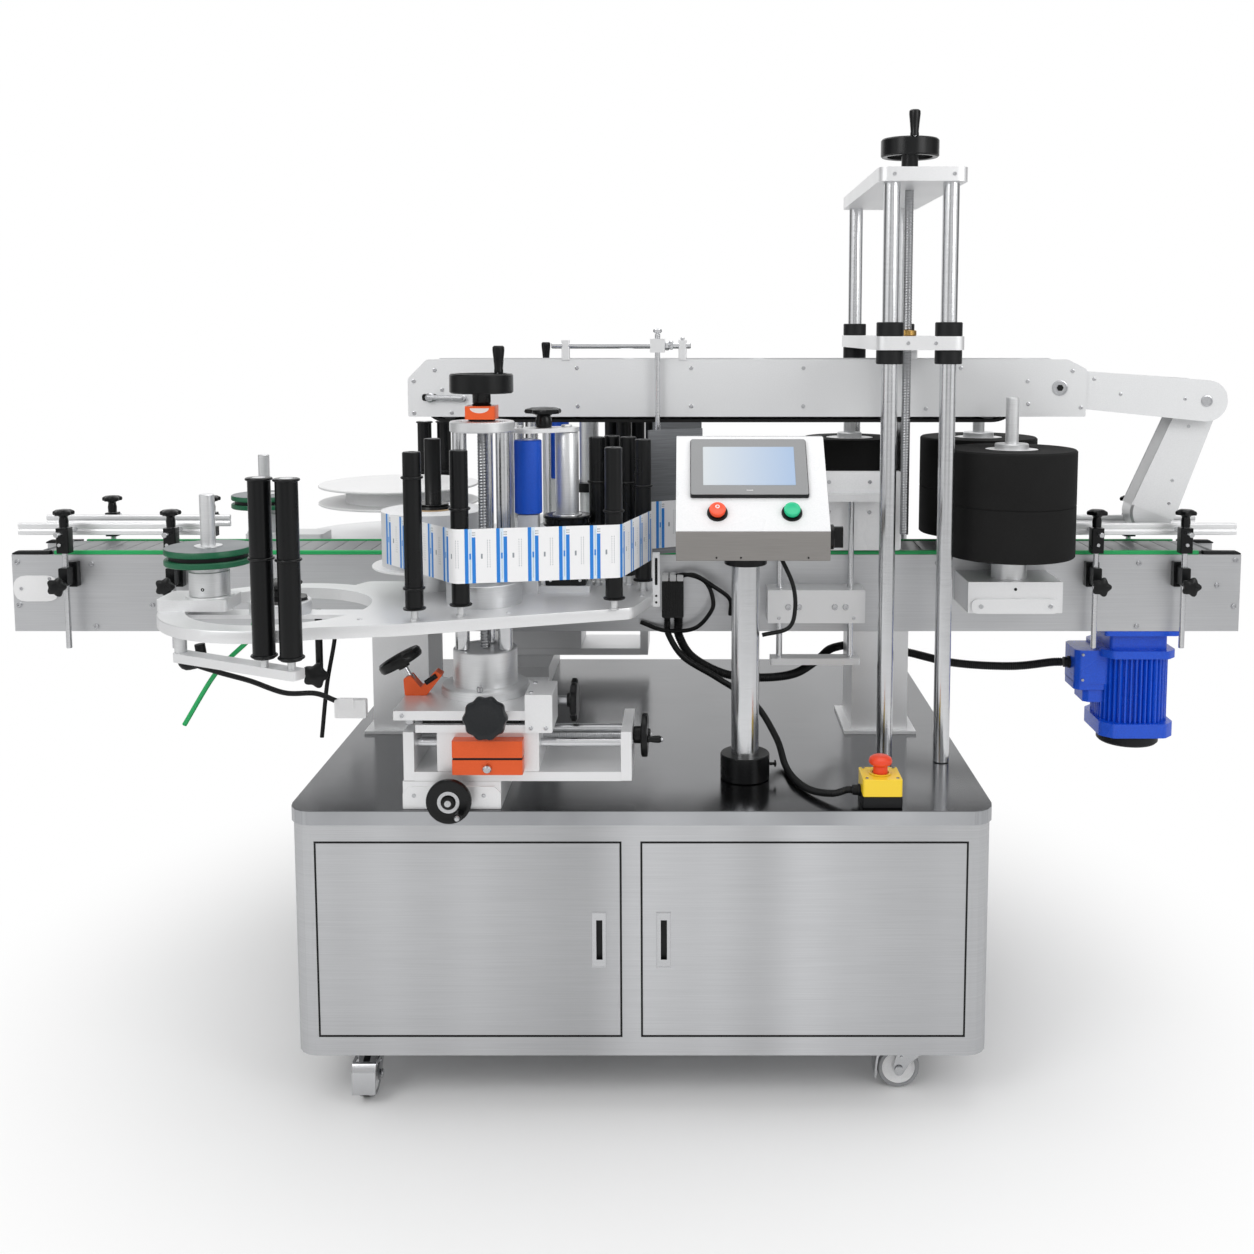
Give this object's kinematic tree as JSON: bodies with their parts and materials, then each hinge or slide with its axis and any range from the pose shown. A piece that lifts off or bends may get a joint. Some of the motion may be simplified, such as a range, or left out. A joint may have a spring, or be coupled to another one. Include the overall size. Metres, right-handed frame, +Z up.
{
  "type": "bottle labelling machine",
  "caption": "Wheeled cabinet labelling machine: slat conveyor between two label heads, hold-down beam on a post tower, foam rollers, panel and emergency stop.",
  "frame": {"origin": "on the floor below the middle of the conveyor, which is the middle of the machine's bounding box", "axes": "+X along the conveyor towards its drive end, +Z up, -Y towards the operator's side"},
  "size_m": [2.45, 1.3312, 1.7493],
  "materials": {
    "stainless": "brushed stainless sheet",
    "chromed_steel": "polished",
    "tread": "grey, non-marking",
    "aluminium": "silver anodised",
    "chain": "dark grey slats",
    "white_paint": "white powder coat",
    "foam": "black foam rubber",
    "black_plastic": "black",
    "black_hose": "black corrugated conduit",
    "blue_paint": "blue enamel",
    "blue_rubber": "blue rubber",
    "label_paper": "white label stock",
    "green_plastic": "green",
    "red_plastic": "red",
    "yellow_plastic": "yellow"
  },
  "bodies": {
    "machine": {"cabinet_shell": "stainless", "worktop": "stainless", "conveyor_frame": "stainless", "slat_chain": "chain", "support_left": "stainless", "support_right": "stainless", "drive_motor": "blue_paint", "tower_frame": "chromed_steel", "panel_post": "chromed_steel", "control_box": "white_paint", "estop_box": "yellow_plastic", "slide_base_front": "aluminium", "slide_base_rear": "aluminium", "motor_conduit": "black_hose", "stop_conduit": "black_hose"},
    "caster_front_left": {"caster_fork_front_left": "chromed_steel"},
    "wheel_front_left": {"caster_wheel_front_left": "tread"},
    "caster_front_right": {"caster_fork_front_right": "chromed_steel"},
    "wheel_front_right": {"caster_wheel_front_right": "tread"},
    "caster_rear_left": {"caster_fork_rear_left": "chromed_steel"},
    "wheel_rear_left": {"caster_wheel_rear_left": "tread"},
    "caster_rear_right": {"caster_fork_rear_right": "chromed_steel"},
    "wheel_rear_right": {"caster_wheel_rear_right": "tread"},
    "door_left": {"door_left": "stainless"},
    "door_right": {"door_right": "stainless"},
    "rail_front_left": {"guide_rail_front_left": "aluminium"},
    "rail_front_right": {"guide_rail_front_right": "aluminium"},
    "rail_rear_left": {"guide_rail_rear_left": "aluminium"},
    "rail_rear_right": {"guide_rail_rear_right": "aluminium"},
    "lift_wheel": {"lift_wheel": "black_plastic"},
    "lift": {"lift_carriage": "aluminium", "hold_down_beam": "aluminium"},
    "beam_arm": {"beam_arm": "aluminium"},
    "spacing_bracket_front": {"spacing_bracket_front": "aluminium"},
    "spacing_roller_front": {"spacing_roller_front": "foam"},
    "spacing_bracket_rear": {"spacing_bracket_rear": "aluminium"},
    "spacing_roller_rear": {"spacing_roller_rear": "foam"},
    "wrap_roller": {"wrap_roller": "foam"},
    "wrap_pad": {"wrap_pad": "aluminium"},
    "stop_button": {"stop_button": "red_plastic"},
    "start_button": {"start_button": "green_plastic"},
    "power_switch": {"power_switch": "black_plastic"},
    "estop_button": {"estop_button": "red_plastic"},
    "infeed_wheel": {"infeed_wheel": "black_plastic"},
    "cross_frame": {"cross_frame_front": "aluminium"},
    "cross_wheel": {"cross_wheel": "black_plastic"},
    "column_front": {"column_front": "aluminium"},
    "height_wheel_front": {"height_wheel_front": "black_plastic"},
    "head_front": {"head_plate_front": "aluminium", "label_web": "label_paper"},
    "label_tray_front": {"label_tray_front": "label_paper"},
    "rewinder_front": {"rewinder_front": "green_plastic"},
    "drive_roller": {"drive_roller": "aluminium"},
    "pinch_roller": {"pinch_roller": "blue_rubber"},
    "dancer_arm": {"dancer_arm": "black_plastic"},
    "column_rear": {"column_rear": "aluminium"},
    "height_wheel_rear": {"height_wheel_rear": "black_plastic"},
    "head_rear": {"head_plate_rear": "aluminium"},
    "label_tray_rear": {"label_tray_rear": "label_paper"},
    "rewinder_rear": {"rewinder_rear": "green_plastic"}
  },
  "joints": [
    {"name": "caster_front_left_turn", "type": "hinge", "parent": "machine", "child": "caster_front_left", "pos_m": [-0.439, -0.425, 0.0997], "axis": [0, 0, 1], "continuous": true},
    {"name": "wheel_front_left_turn", "type": "hinge", "parent": "caster_front_left", "child": "wheel_front_left", "pos_m": [-0.439, -0.455, 0.0375], "axis": [1, 0, 0], "continuous": true},
    {"name": "caster_front_right_turn", "type": "hinge", "parent": "machine", "child": "caster_front_right", "pos_m": [0.527, -0.425, 0.0997], "axis": [0, 0, 1], "continuous": true},
    {"name": "wheel_front_right_turn", "type": "hinge", "parent": "caster_front_right", "child": "wheel_front_right", "pos_m": [0.497, -0.425, 0.0375], "axis": [0, -1, 0], "continuous": true},
    {"name": "caster_rear_left_turn", "type": "hinge", "parent": "machine", "child": "caster_rear_left", "pos_m": [-0.439, 0.425, 0.0997], "axis": [0, 0, 1], "continuous": true},
    {"name": "wheel_rear_left_turn", "type": "hinge", "parent": "caster_rear_left", "child": "wheel_rear_left", "pos_m": [-0.41442, 0.40779, 0.0375], "axis": [0.5736, 0.8192, 0], "continuous": true},
    {"name": "caster_rear_right_turn", "type": "hinge", "parent": "machine", "child": "caster_rear_right", "pos_m": [0.527, 0.425, 0.0997], "axis": [0, 0, 1], "continuous": true},
    {"name": "wheel_rear_right_turn", "type": "hinge", "parent": "caster_rear_right", "child": "wheel_rear_right", "pos_m": [0.50243, 0.40779, 0.0375], "axis": [0.5736, -0.8192, 0], "continuous": true},
    {"name": "door_left_turn", "type": "hinge", "parent": "machine", "child": "door_left", "pos_m": [-0.509, -0.5067, 0.307], "axis": [0, 0, -1], "range_deg": [0, 110]},
    {"name": "door_right_turn", "type": "hinge", "parent": "machine", "child": "door_right", "pos_m": [0.597, -0.5067, 0.307], "axis": [0, 0, 1], "range_deg": [0, 110]},
    {"name": "rail_front_left_slide", "type": "slide", "parent": "machine", "child": "rail_front_left", "axis": [0, 1, 0], "range_m": [-0.02, 0.02]},
    {"name": "rail_front_right_slide", "type": "slide", "parent": "machine", "child": "rail_front_right", "axis": [0, 1, 0], "range_m": [-0.02, 0.02]},
    {"name": "rail_rear_left_slide", "type": "slide", "parent": "machine", "child": "rail_rear_left", "axis": [0, 1, 0], "range_m": [-0.02, 0.02]},
    {"name": "rail_rear_right_slide", "type": "slide", "parent": "machine", "child": "rail_rear_right", "axis": [0, 1, 0], "range_m": [-0.02, 0.014]},
    {"name": "lift_wheel_turn", "type": "hinge", "parent": "machine", "child": "lift_wheel", "pos_m": [0.5445, -0.12, 1.632], "axis": [0, 0, 1], "range_deg": [-760, 14440]},
    {"name": "lift_slide", "type": "slide", "parent": "machine", "child": "lift", "axis": [0, 0, 1], "range_m": [-0.01, 0.2]},
    {"name": "beam_arm_turn", "type": "hinge", "parent": "lift", "child": "beam_arm", "pos_m": [0.855, 0, 1.228], "axis": [0, 1, 0], "range_deg": [-12, 2]},
    {"name": "spacing_bracket_front_slide", "type": "slide", "parent": "machine", "child": "spacing_bracket_front", "axis": [0, -1, 0], "range_m": [0, 0.03]},
    {"name": "spacing_roller_front_turn", "type": "hinge", "parent": "spacing_bracket_front", "child": "spacing_roller_front", "pos_m": [0.745, -0.145, 0.91], "axis": [0, 0, 1], "continuous": true},
    {"name": "spacing_bracket_rear_slide", "type": "slide", "parent": "machine", "child": "spacing_bracket_rear", "axis": [0, 1, 0], "range_m": [0, 0.03]},
    {"name": "spacing_roller_rear_turn", "type": "hinge", "parent": "spacing_bracket_rear", "child": "spacing_roller_rear", "pos_m": [0.745, 0.145, 0.91], "axis": [0, 0, 1], "continuous": true},
    {"name": "wrap_roller_turn", "type": "hinge", "parent": "machine", "child": "wrap_roller", "pos_m": [0.4675, 0.138, 0.91], "axis": [0, 0, 1], "continuous": true},
    {"name": "wrap_pad_slide", "type": "slide", "parent": "machine", "child": "wrap_pad", "axis": [0, 0, 1], "range_m": [-0.01, 0.05]},
    {"name": "stop_button_slide", "type": "slide", "parent": "machine", "child": "stop_button", "axis": [0, 0.719, -0.695], "range_m": [0, 0.004], "stiffness_N_per_m": 500, "springref_m": -0.004},
    {"name": "start_button_slide", "type": "slide", "parent": "machine", "child": "start_button", "axis": [0, 0.719, -0.695], "range_m": [0, 0.004], "stiffness_N_per_m": 500, "springref_m": -0.004},
    {"name": "power_switch_turn", "type": "hinge", "parent": "machine", "child": "power_switch", "pos_m": [0.368, -0.385, 0.982], "axis": [1, 0, 0], "range_deg": [0, 90]},
    {"name": "estop_button_slide", "type": "slide", "parent": "machine", "child": "estop_button", "axis": [0, 0, -1], "range_m": [0, 0.005], "stiffness_N_per_m": 800, "springref_m": -0.005},
    {"name": "infeed_wheel_turn", "type": "hinge", "parent": "machine", "child": "infeed_wheel", "pos_m": [-0.276, -0.5103, 0.559], "axis": [0, 1, 0], "range_deg": [-1840, 940]},
    {"name": "cross_frame_slide", "type": "slide", "parent": "machine", "child": "cross_frame", "axis": [0, 1, 0], "range_m": [-0.02, 0.01]},
    {"name": "cross_wheel_turn", "type": "hinge", "parent": "cross_frame", "child": "cross_wheel", "pos_m": [0.0283, -0.43, 0.642], "axis": [1, 0, 0], "range_deg": [-3190, 2740]},
    {"name": "column_front_slide", "type": "slide", "parent": "cross_frame", "child": "column_front", "axis": [1, 0, 0], "range_m": [-0.035, 0.03]},
    {"name": "height_wheel_front_turn", "type": "hinge", "parent": "column_front", "child": "height_wheel_front", "pos_m": [-0.235, -0.38, 1.2153], "axis": [0, 0, 1], "range_deg": [-3640, 9040]},
    {"name": "head_front_slide", "type": "slide", "parent": "column_front", "child": "head_front", "axis": [0, 0, 1], "range_m": [-0.04, 0.1]},
    {"name": "label_tray_front_turn", "type": "hinge", "parent": "head_front", "child": "label_tray_front", "pos_m": [-0.345, -0.265, 0.91], "axis": [0, 0, 1], "continuous": true},
    {"name": "rewinder_front_turn", "type": "hinge", "parent": "head_front", "child": "rewinder_front", "pos_m": [-0.703, -0.42, 0.8883], "axis": [0, 0, 1], "continuous": true},
    {"name": "drive_roller_turn", "type": "hinge", "parent": "head_front", "child": "drive_roller", "pos_m": [-0.099, -0.262, 0.905], "axis": [0, 0, 1], "continuous": true},
    {"name": "pinch_roller_turn", "type": "hinge", "parent": "head_front", "child": "pinch_roller", "pos_m": [-0.167, -0.29, 1.01], "axis": [0, 0, 1], "continuous": true},
    {"name": "dancer_arm_turn", "type": "hinge", "parent": "head_front", "child": "dancer_arm", "pos_m": [-0.711, -0.536, 0.8], "axis": [0, 0, 1], "range_deg": [-25, 0], "stiffness_Nm_per_rad": 0.5},
    {"name": "column_rear_slide", "type": "slide", "parent": "machine", "child": "column_rear", "axis": [0, 1, 0], "range_m": [-0.01, 0.02]},
    {"name": "height_wheel_rear_turn", "type": "hinge", "parent": "column_rear", "child": "height_wheel_rear", "pos_m": [-0.235, 0.38, 1.2153], "axis": [0, 0, 1], "range_deg": [-3640, 9040]},
    {"name": "head_rear_slide", "type": "slide", "parent": "column_rear", "child": "head_rear", "axis": [0, 0, 1], "range_m": [-0.04, 0.1]},
    {"name": "label_tray_rear_turn", "type": "hinge", "parent": "head_rear", "child": "label_tray_rear", "pos_m": [-0.54, 0.33, 0.95], "axis": [0, 0, 1], "continuous": true},
    {"name": "rewinder_rear_turn", "type": "hinge", "parent": "head_rear", "child": "rewinder_rear", "pos_m": [-0.84, 0.3, 0.8883], "axis": [0, 0, 1], "continuous": true}
  ],
  "couplings": [
    {"joint": "lift_wheel_turn", "follows": "lift_slide", "rad_per_m": 1256.6},
    {"joint": "infeed_wheel_turn", "follows": "cross_frame_slide", "rad_per_m": 1570.8},
    {"joint": "cross_wheel_turn", "follows": "column_front_slide", "rad_per_m": 1570.8},
    {"joint": "height_wheel_front_turn", "follows": "head_front_slide", "rad_per_m": 1570.8},
    {"joint": "height_wheel_rear_turn", "follows": "head_rear_slide", "rad_per_m": 1570.8}
  ]
}
